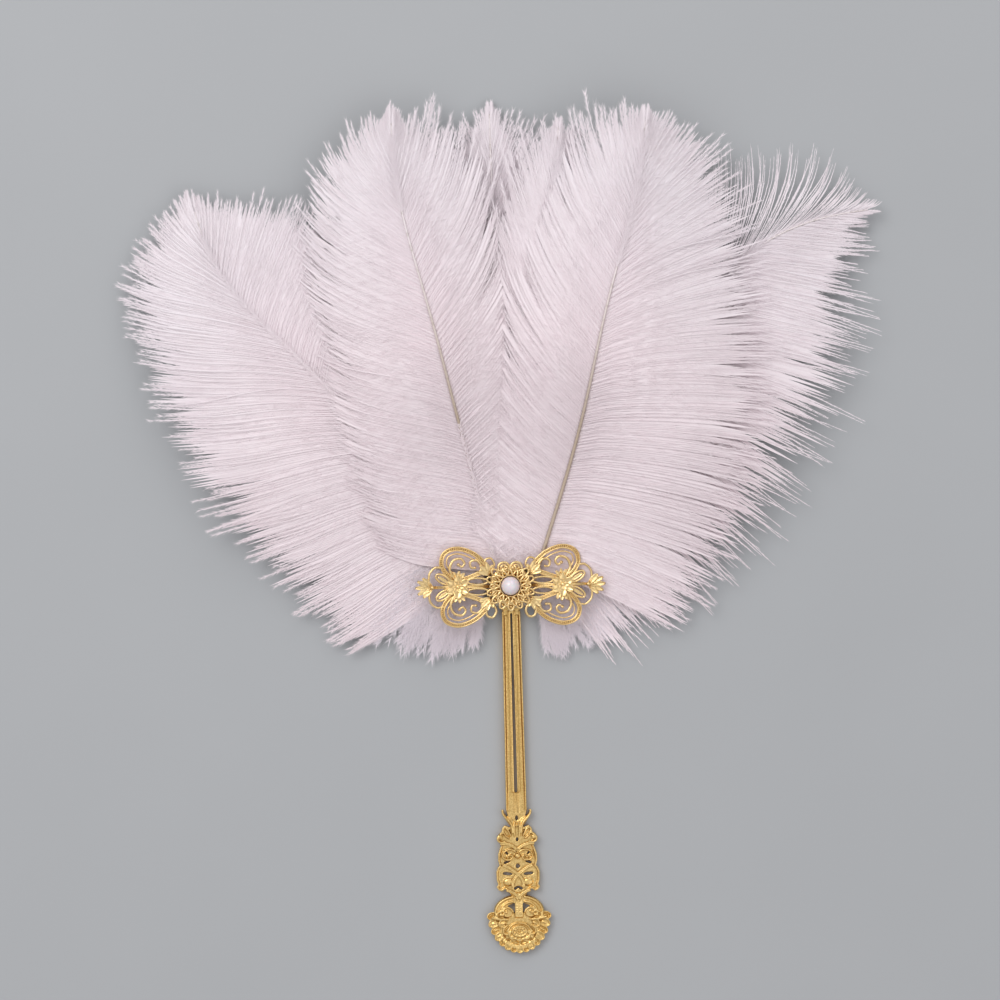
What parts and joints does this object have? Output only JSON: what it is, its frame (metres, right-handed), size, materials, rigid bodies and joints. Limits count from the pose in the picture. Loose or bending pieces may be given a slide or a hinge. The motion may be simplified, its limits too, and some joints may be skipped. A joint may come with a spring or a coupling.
{
  "type": "feather fan",
  "caption": "Hand fan of layered ostrich plumes on a cast gilt handle, with a filigree butterfly brooch and a half pearl over the bound quills.",
  "frame": {"origin": "on the back cover's resting face, under the middle of the pearl", "axes": "+Y from the handle towards the plume tips, +Z out of the front with the pearl, +X to the right as seen from the front; the fan lies on its back on z = 0"},
  "size_m": [0.3603, 0.4006, 0.0407],
  "materials": {
    "gilt_casting": "polished gilt casting with stippled grounds",
    "gilt_filigree": "bright gilt stamping",
    "brass_cover": "satin stamped plate",
    "binding_thread": "waxed thread",
    "felt": "pressed felt",
    "feather": "soft white ostrich barbs",
    "feather_down": "loose white down",
    "feather_shaft": "smooth horn",
    "pearl": "pearl lustre"
  },
  "bodies": {
    "root": {"handle": "gilt_casting", "back_cover": "brass_cover", "quill_binding": "binding_thread", "front_pad": "felt", "butterfly": "gilt_filigree", "rosette": "gilt_filigree", "pearl_cup": "gilt_filigree", "pearl": "pearl", "far_left_plume_shaft": "feather_shaft", "far_left_plume_left_vane": "feather", "far_left_plume_right_vane": "feather", "far_left_plume_down": "feather_down", "left_plume_shaft": "feather_shaft", "left_plume_left_vane": "feather", "left_plume_right_vane": "feather", "middle_plume_shaft": "feather_shaft", "middle_plume_left_vane": "feather", "middle_plume_right_vane": "feather", "inner_right_plume_shaft": "feather_shaft", "inner_right_plume_left_vane": "feather", "inner_right_plume_right_vane": "feather", "front_right_plume_shaft": "feather_shaft", "front_right_plume_left_vane": "feather", "front_right_plume_right_vane": "feather", "far_right_plume_shaft": "feather_shaft", "far_right_plume_left_vane": "feather", "far_right_plume_right_vane": "feather", "far_right_plume_down": "feather_down"}
  },
  "joints": []
}
